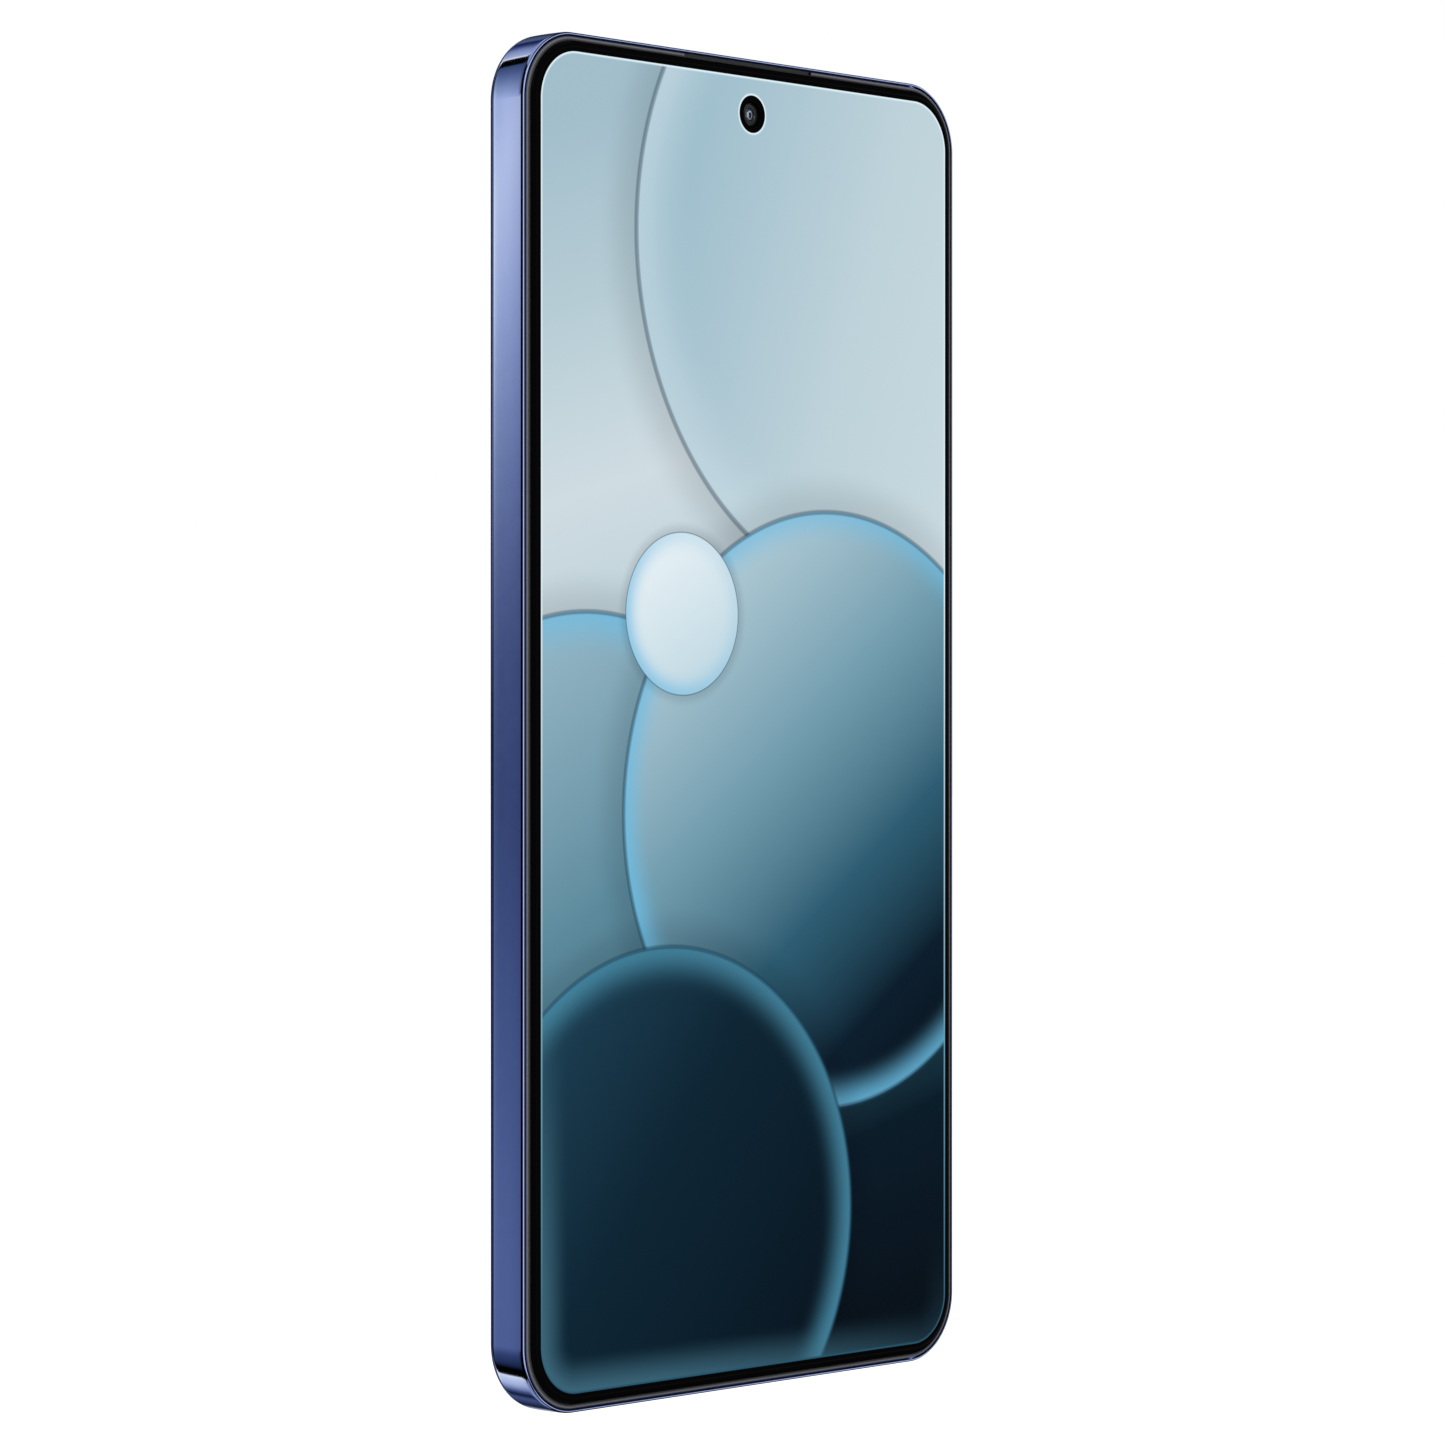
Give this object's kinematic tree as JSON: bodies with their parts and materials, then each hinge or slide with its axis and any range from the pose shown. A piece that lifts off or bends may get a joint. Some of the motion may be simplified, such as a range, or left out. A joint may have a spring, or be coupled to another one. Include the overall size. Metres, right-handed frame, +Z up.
{
  "type": "smartphone",
  "caption": "Flat slab smartphone with a blue metal side frame, edge-to-edge touch screen, side keys, charging port, card tray and rear cameras, as an assembly of separate parts.",
  "frame": {"origin": "centre of the bottom edge, in the middle of the whole depth, with the phone upright", "axes": "+Z up the phone from the charging port to the earpiece, +Y from the screen to the back, +X to the right as the screen is looked at"},
  "size_m": [0.0761, 0.009, 0.159],
  "materials": {
    "frame_blue": "polished",
    "ring_black": "satin",
    "cover_glass": "gloss",
    "display": "gloss",
    "adhesive": "matte",
    "chassis": "satin",
    "rear_glass": "satin",
    "lens_glass": "gloss",
    "flash_lens": "gloss",
    "black_plastic": "matte",
    "steel": "satin",
    "copper": "satin",
    "circuit_board": "satin",
    "chip": "satin",
    "flex": "satin",
    "cell": "satin",
    "pad": "matte",
    "membrane": "satin"
  },
  "bodies": {
    "body": {"side_frame": "frame_blue", "frame_port_section": "frame_blue", "camera_island": "frame_blue", "bezel_ring": "ring_black", "cover_glass": "cover_glass", "display_panel": "display", "display_gasket": "adhesive", "rear_cover_adhesive": "adhesive", "chassis_plate": "chassis", "rear_cover": "rear_glass", "lens_cover_main": "lens_glass", "lens_cover_wide": "lens_glass", "lens_cover_tele": "lens_glass", "flash_lens": "flash_lens", "upper_bracket": "black_plastic", "lower_bracket": "black_plastic", "speaker_box": "black_plastic", "antenna_cable": "black_plastic", "speaker_mesh": "black_plastic", "earpiece_mesh": "black_plastic", "usb_tongue": "black_plastic", "lens_ring_main": "steel", "lens_ring_wide": "steel", "lens_ring_tele": "steel", "main_camera": "steel", "board_shield": "steel", "usb_receptacle": "steel", "sim_reader": "steel", "sim_ejector": "steel", "bottom_microphone": "steel", "top_microphone": "steel", "speaker_motor": "steel", "haptic_housing": "steel", "earpiece_body": "steel", "screw_upper_left": "steel", "screw_upper_middle": "steel", "screw_upper_right": "steel", "screw_lower_left": "steel", "screw_lower_right": "steel", "charging_coil": "copper", "main_board": "circuit_board", "sub_board": "circuit_board", "processor_chip": "chip", "front_camera": "chip", "wide_camera": "chip", "tele_camera": "chip", "battery_flex": "flex", "main_flex": "flex", "display_flex": "flex", "side_key_flex": "flex", "battery": "cell", "thermal_pad": "pad"},
    "power_key": {"power_key": "frame_blue"},
    "volume_rocker": {"volume_rocker": "frame_blue"},
    "sim_tray": {"sim_tray": "frame_blue", "sim_tray_gasket": "adhesive"},
    "focus_barrel": {"main_camera_barrel": "chip"},
    "haptic_mass": {"haptic_mass": "steel"},
    "speaker_cone": {"speaker_diaphragm": "membrane"},
    "earpiece_cone": {"earpiece_diaphragm": "membrane"}
  },
  "joints": [
    {"name": "power_key_press", "type": "slide", "parent": "body", "child": "power_key", "axis": [-1, 0, 0], "range_m": [0, 0.0003], "stiffness_N_per_m": 1500},
    {"name": "volume_rocker_tilt", "type": "hinge", "parent": "body", "child": "volume_rocker", "pos_m": [0.0352, -0.00145, 0.121], "axis": [0, 1, 0], "range_deg": [-1.3, 1.3], "stiffness_Nm_per_rad": 0.1},
    {"name": "sim_tray_slide", "type": "slide", "parent": "body", "child": "sim_tray", "axis": [0, 0, -1], "range_m": [0, 0.02]},
    {"name": "camera_focus", "type": "slide", "parent": "body", "child": "focus_barrel", "axis": [0, 1, 0], "range_m": [0, 0.0004], "stiffness_N_per_m": 100},
    {"name": "haptic_shake", "type": "slide", "parent": "body", "child": "haptic_mass", "axis": [1, 0, 0], "range_m": [-0.0004, 0.0004], "stiffness_N_per_m": 1500},
    {"name": "speaker_stroke", "type": "slide", "parent": "body", "child": "speaker_cone", "axis": [0, 1, 0], "range_m": [-0.00025, 0.00025], "stiffness_N_per_m": 200},
    {"name": "earpiece_stroke", "type": "slide", "parent": "body", "child": "earpiece_cone", "axis": [0, 1, 0], "range_m": [-0.00012, 0.00012], "stiffness_N_per_m": 100}
  ]
}
